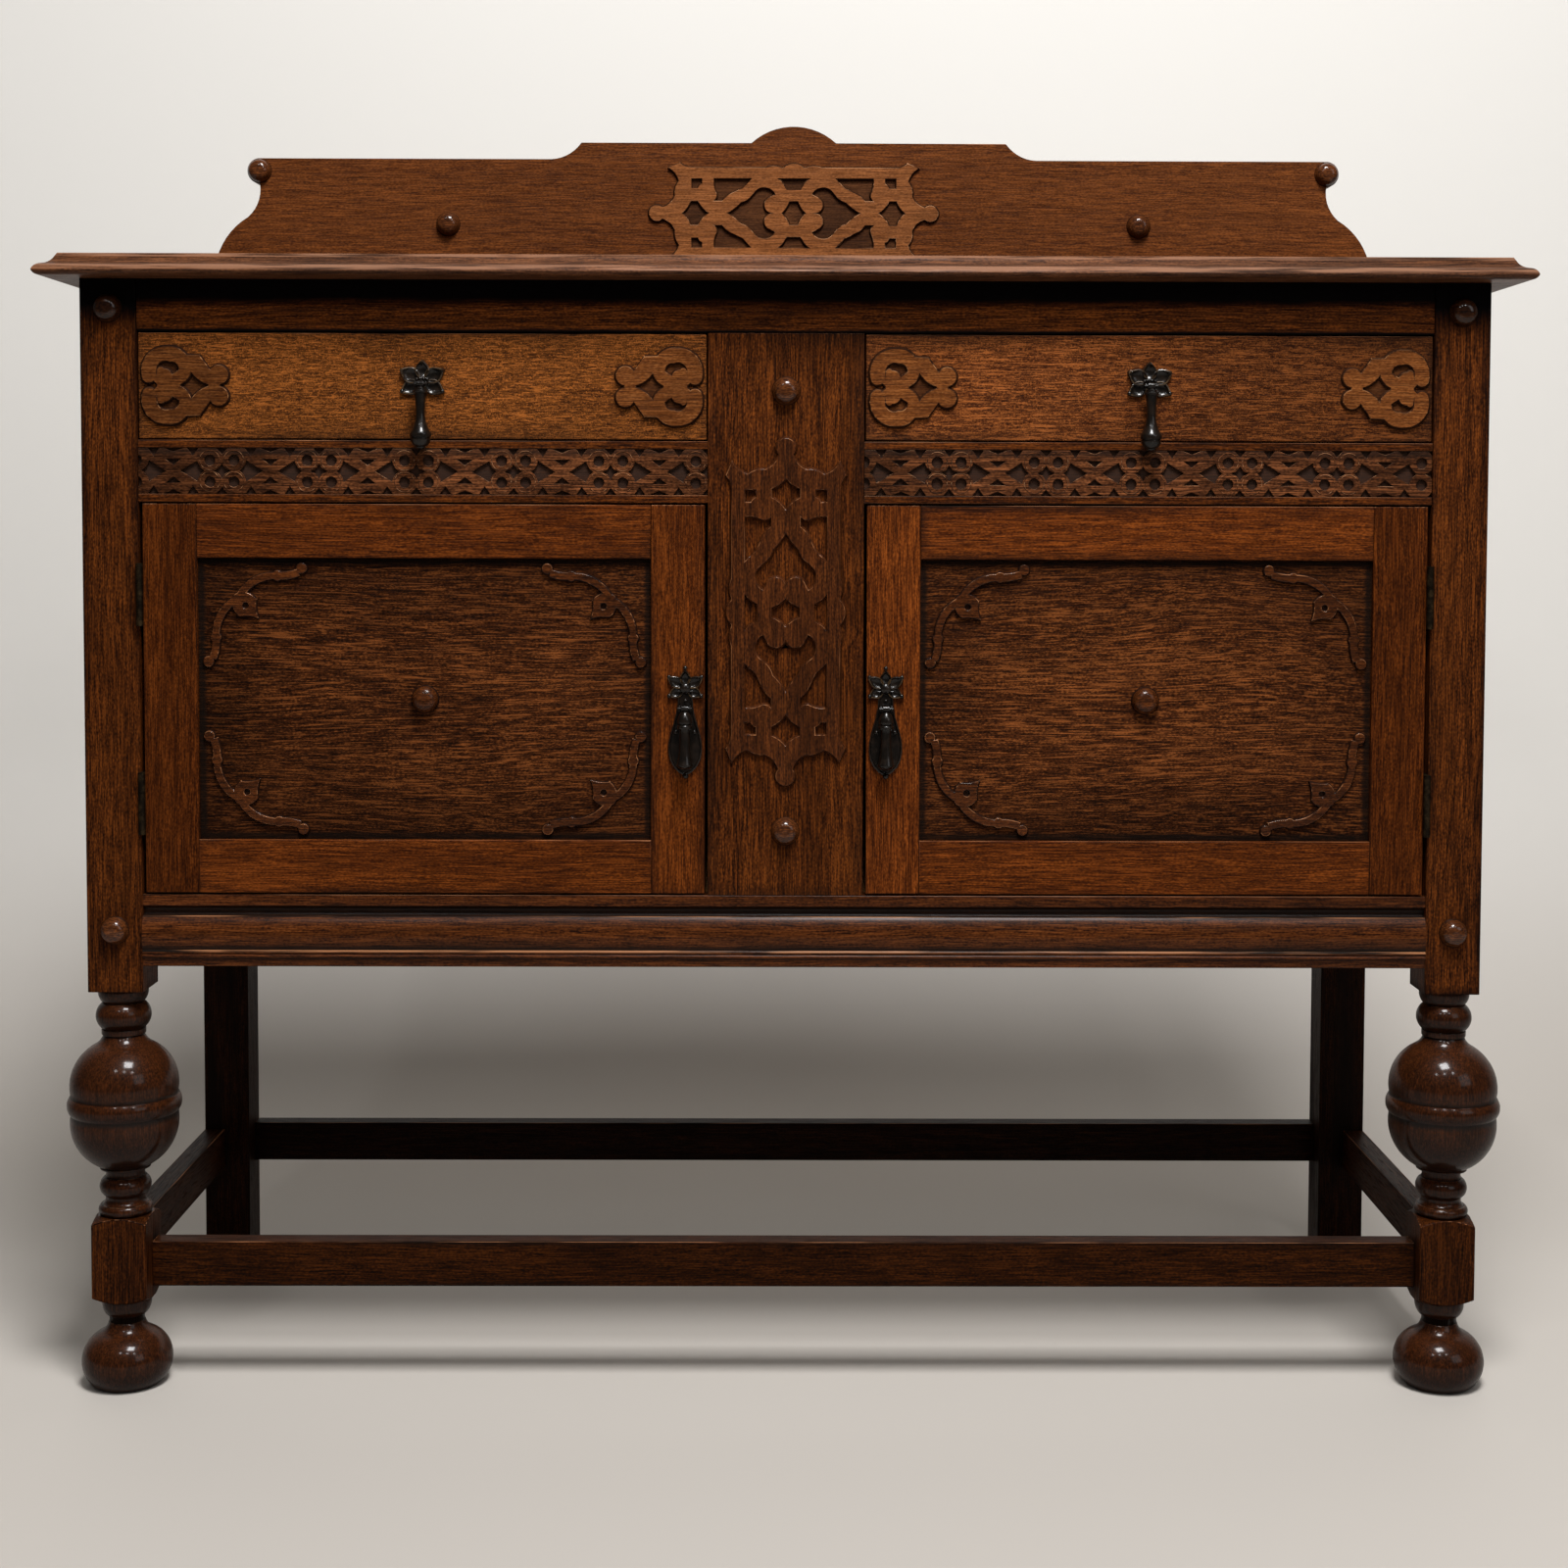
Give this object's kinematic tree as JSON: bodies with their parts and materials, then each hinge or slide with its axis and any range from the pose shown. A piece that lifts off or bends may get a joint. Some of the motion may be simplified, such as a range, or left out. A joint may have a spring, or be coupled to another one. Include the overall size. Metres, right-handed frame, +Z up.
{
  "type": "sideboard",
  "caption": "Oak sideboard with shaped gallery, drawers over panelled doors with drop handles, strapwork frets, and turned bulb front legs joined by stretchers.",
  "frame": {"origin": "on the floor, under the middle of the top board", "axes": "+X to the viewer's right, +Y to the back (the doors face -Y), +Z up"},
  "size_m": [1.22, 0.452, 1.1216],
  "materials": {
    "oak_carcass": "satin varnish, brown stain",
    "oak_top": "satin varnish, worn at the edges",
    "oak_turned": "polished dark stain",
    "oak_panel": "satin varnish, coarse grain",
    "oak_front": "satin varnish, golden brown",
    "oak_carving": "satin, dark in the hollows",
    "inner_wood": "bare, unpolished",
    "handle_brass": "blackened antique",
    "hinge_brass": "dull, tarnished"
  },
  "bodies": {
    "carcass": {"back_panel": "inner_wood", "back_rails": "inner_wood", "bottom_board": "inner_wood", "bottom_front_rail": "oak_carcass", "carcass_studs": "oak_turned", "centre_division": "inner_wood", "centre_pilaster": "oak_carcass", "door_catches": "hinge_brass", "drawer_runners": "inner_wood", "front_left_leg": "oak_turned", "front_right_leg": "oak_turned", "front_stretcher": "oak_carcass", "gallery_board": "oak_top", "gallery_fret": "oak_carving", "gallery_studs": "oak_turned", "hinge_frame_leaves": "hinge_brass", "left_frieze_rail": "oak_carving", "left_side_panel": "oak_panel", "left_side_rails": "oak_carcass", "left_stretcher": "oak_carcass", "pilaster_fret": "oak_carving", "rear_left_leg": "oak_carcass", "rear_right_leg": "oak_carcass", "rear_stretcher": "oak_carcass", "right_frieze_rail": "oak_carving", "right_side_panel": "oak_panel", "right_side_rails": "oak_carcass", "right_stretcher": "oak_carcass", "top_board": "oak_top", "top_front_rail": "oak_carcass"},
    "left_drawer": {"left_drawer_front": "oak_front", "left_drawer_sides": "inner_wood", "left_drawer_back": "inner_wood", "left_drawer_bottom": "inner_wood", "left_drawer_end_frets": "oak_carving", "left_drawer_handle_plate": "handle_brass"},
    "left_drawer_drop": {"left_drawer_handle_drop": "handle_brass"},
    "left_door": {"left_door_hinge_stile": "oak_front", "left_door_lock_stile": "oak_front", "left_door_rails": "oak_front", "left_door_panel": "oak_panel", "left_door_ornament": "oak_carving", "left_door_hinge_leaves": "hinge_brass", "left_door_handle_plate": "handle_brass"},
    "left_door_drop": {"left_door_handle_drop": "handle_brass"},
    "right_drawer": {"right_drawer_front": "oak_front", "right_drawer_sides": "inner_wood", "right_drawer_back": "inner_wood", "right_drawer_bottom": "inner_wood", "right_drawer_end_frets": "oak_carving", "right_drawer_handle_plate": "handle_brass"},
    "right_drawer_drop": {"right_drawer_handle_drop": "handle_brass"},
    "right_door": {"right_door_hinge_stile": "oak_front", "right_door_lock_stile": "oak_front", "right_door_rails": "oak_front", "right_door_panel": "oak_panel", "right_door_ornament": "oak_carving", "right_door_hinge_leaves": "hinge_brass", "right_door_handle_plate": "handle_brass"},
    "right_door_drop": {"right_door_handle_drop": "handle_brass"}
  },
  "joints": [
    {"name": "left_drawer_slide", "type": "slide", "parent": "carcass", "child": "left_drawer", "axis": [0, -1, 0], "range_m": [0, 0.28]},
    {"name": "left_drawer_drop_swing", "type": "hinge", "parent": "left_drawer", "child": "left_drawer_drop", "pos_m": [-0.29925, -0.2065, 0.843], "axis": [-1, 0, 0], "range_deg": [0, 100]},
    {"name": "left_door_hinge", "type": "hinge", "parent": "carcass", "child": "left_door", "pos_m": [-0.5325, -0.1989, 0.583], "axis": [0, 0, -1], "range_deg": [0, 165]},
    {"name": "left_door_drop_swing", "type": "hinge", "parent": "left_door", "child": "left_door_drop", "pos_m": [-0.083, -0.2065, 0.577], "axis": [-1, 0, 0], "range_deg": [0, 100]},
    {"name": "right_drawer_slide", "type": "slide", "parent": "carcass", "child": "right_drawer", "axis": [0, -1, 0], "range_m": [0, 0.28]},
    {"name": "right_drawer_drop_swing", "type": "hinge", "parent": "right_drawer", "child": "right_drawer_drop", "pos_m": [0.29925, -0.2065, 0.843], "axis": [-1, 0, 0], "range_deg": [0, 100]},
    {"name": "right_door_hinge", "type": "hinge", "parent": "carcass", "child": "right_door", "pos_m": [0.5325, -0.1989, 0.583], "axis": [0, 0, 1], "range_deg": [0, 165]},
    {"name": "right_door_drop_swing", "type": "hinge", "parent": "right_door", "child": "right_door_drop", "pos_m": [0.083, -0.2065, 0.577], "axis": [-1, 0, 0], "range_deg": [0, 100]}
  ]
}
